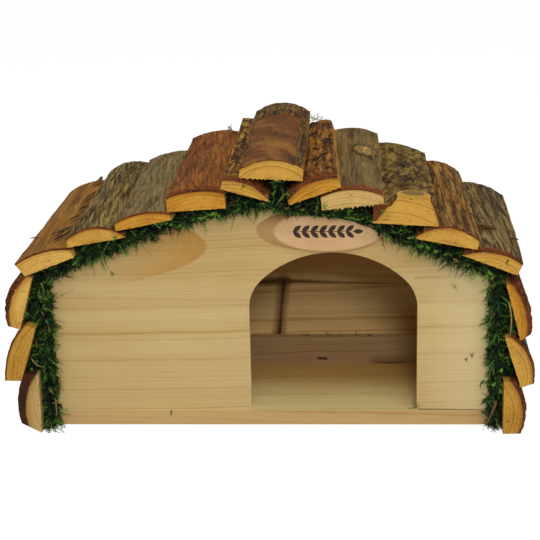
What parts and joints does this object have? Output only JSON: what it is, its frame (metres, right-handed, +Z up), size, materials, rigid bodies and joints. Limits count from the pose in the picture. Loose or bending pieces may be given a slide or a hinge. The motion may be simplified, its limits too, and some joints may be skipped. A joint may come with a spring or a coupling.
{
  "type": "hedgehog house",
  "caption": "Low pine animal shelter with a vaulted roof and sides clad in lapped half-round bark slabs, an arched doorway, moss packing along the edges and a blank oval plate of branch wood.",
  "frame": {"origin": "middle of the base board's underside, on the ground", "axes": "+Z up, +X to the right as seen from the front, +Y from the doorway to the back wall"},
  "size_m": [0.4914, 0.271, 0.2648],
  "materials": {
    "pine": "planed, untreated, matt, with a fine level grain",
    "base_pine": "planed, untreated, a little warmer than the gables",
    "bark_slab": "rough brown bark over sawn yellow end grain",
    "plate_wood": "sawn and sanded pale pink branch wood with a thin bark rim",
    "moss": "fluffy preserved moss, dark green with brighter tips",
    "nail_steel": "bright wire nails"
  },
  "bodies": {
    "root": {"base_board": "base_pine", "name_plate": "plate_wood", "front_gable": "pine", "back_gable": "pine", "left_wall": "pine", "right_wall": "pine", "left_lower_roof_board": "pine", "left_upper_roof_board": "pine", "right_upper_roof_board": "pine", "right_lower_roof_board": "pine", "bedding_board": "pine", "ridge_slab": "bark_slab", "left_wall_slab_1": "bark_slab", "left_wall_slab_2": "bark_slab", "left_wall_slab_3": "bark_slab", "left_roof_slab_1": "bark_slab", "left_roof_slab_2": "bark_slab", "left_roof_slab_3": "bark_slab", "left_roof_slab_4": "bark_slab", "left_roof_slab_5": "bark_slab", "right_wall_slab_1": "bark_slab", "right_wall_slab_2": "bark_slab", "right_wall_slab_3": "bark_slab", "right_roof_slab_1": "bark_slab", "right_roof_slab_2": "bark_slab", "right_roof_slab_3": "bark_slab", "right_roof_slab_4": "bark_slab", "right_roof_slab_5": "bark_slab", "moss_front_left_side": "moss", "moss_front_left_roof": "moss", "moss_front_right_roof": "moss", "moss_front_right_side": "moss", "moss_back_left_side": "moss", "moss_back_left_roof": "moss", "moss_back_right_roof": "moss", "moss_back_right_side": "moss", "moss_ridge": "moss", "base_nails": "nail_steel", "wall_nails": "nail_steel", "roof_board_nails": "nail_steel", "slab_nails": "nail_steel"}
  },
  "joints": []
}
